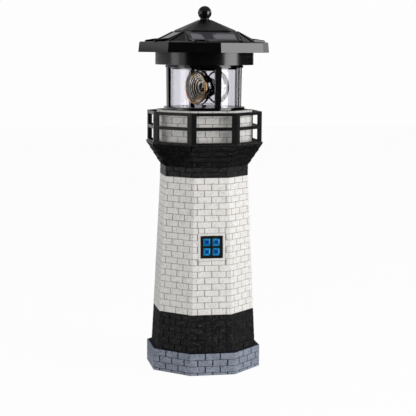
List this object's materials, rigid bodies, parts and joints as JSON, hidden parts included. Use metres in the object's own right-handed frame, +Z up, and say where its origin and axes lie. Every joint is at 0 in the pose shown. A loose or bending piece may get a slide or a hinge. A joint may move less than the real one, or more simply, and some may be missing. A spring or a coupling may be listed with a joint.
{
  "type": "garden_lighthouse_ornament",
  "caption": "Free-standing garden lighthouse ornament: eight-sided brick tower, railed gallery, glazed lantern with a geared turning beacon, and a twist-off solar roof unit with a switch.",
  "frame": {"origin": "Centre of the base's underside, on the tower's axis.", "axes": "+Z is up, from the base to the finial. The window faces -Y. +X is to the right when the window is looked at. The reflector's mouth at rest looks 60 degrees from the window towards -X."},
  "size_m": [0.1038, 0.1038, 0.28],
  "materials": {
    "grey_stone_paint": "matte blue-grey paint with a fine texture",
    "black_tower_paint": "semi-matte black paint with a fine texture",
    "white_tower_paint": "semi-matte off-white paint with a fine texture",
    "blue_panes": "glossy translucent blue",
    "black_matte_plastic": "satin",
    "black_gloss_plastic": "gloss",
    "grey_plastic": "matte",
    "white_plastic": "satin",
    "clear_tube": "clear",
    "clear_barrel": "clear, faintly golden",
    "clear_lens": "clear, domed",
    "mirror_plating": "bright plated steps",
    "copper_trim": "copper-coloured, satin",
    "lamp_lens": "clear dome with a pale yellow core",
    "solar_cells": "dark cells under clear resin",
    "battery_sleeve": "shrunk plastic sleeve",
    "green_board": "green varnish",
    "motor_steel": "plated",
    "screw_steel": "zinc plated",
    "pinion_brass": "cut"
  },
  "bodies": {
    "tower": {"plinth": "grey_stone_paint", "base_plate": "grey_plastic", "base_screws": "screw_steel", "foot_band": "black_tower_paint", "shaft": "white_tower_paint", "window_frame": "black_tower_paint", "window_panes": "blue_panes", "corbel": "black_tower_paint", "gallery_rail": "black_matte_plastic", "drum": "white_tower_paint", "lantern_floor": "black_gloss_plastic", "floor_screws": "screw_steel", "lantern_glass": "clear_tube", "lantern_cage": "black_gloss_plastic"},
    "top": {"collar_housing": "black_gloss_plastic", "chassis_plate": "grey_plastic", "chassis_screws": "screw_steel", "drive_motor": "motor_steel", "motor_screws": "screw_steel", "lamp_stem": "white_plastic", "lamp": "lamp_lens", "battery_holder": "black_matte_plastic", "battery": "battery_sleeve", "battery_contacts": "screw_steel", "circuit_board": "green_board", "switch_body": "black_matte_plastic", "roof_shell": "black_gloss_plastic", "roof_screws": "screw_steel", "solar_panel_front": "solar_cells", "solar_panel_right": "solar_cells", "solar_panel_back": "solar_cells", "solar_panel_left": "solar_cells", "roof_cap": "black_gloss_plastic", "finial": "black_gloss_plastic", "finial_nut": "screw_steel"},
    "rotor": {"beacon_frame": "clear_lens", "reflector_bowl": "black_gloss_plastic", "reflector_dish": "mirror_plating", "reflector_rim": "copper_trim", "light_barrel": "clear_barrel", "lens": "clear_lens", "lens_ring": "black_gloss_plastic", "beacon_gear": "white_plastic", "spindle_clip": "screw_steel"},
    "pinion": {"motor_pinion": "pinion_brass"},
    "switch": {"switch_slider": "white_plastic"}
  },
  "joints": [
    {"name": "top_twist", "type": "hinge", "parent": "tower", "child": "top", "pos_m": [0, 0, 0.2346], "axis": [0, 0, 1], "range_deg": [0, 36]},
    {"name": "beacon_spin", "type": "hinge", "parent": "top", "child": "rotor", "pos_m": [0, 0, 0.2178], "axis": [0, 0, 1], "continuous": true},
    {"name": "pinion_spin", "type": "hinge", "parent": "top", "child": "pinion", "pos_m": [0, -0.015, 0.2396], "axis": [0, 0, 1], "continuous": true},
    {"name": "switch_slide", "type": "slide", "parent": "top", "child": "switch", "axis": [1, 0, 0], "range_m": [0, 0.003]}
  ],
  "couplings": [
    {"joint": "pinion_spin", "follows": "beacon_spin", "ratio": -4}
  ]
}
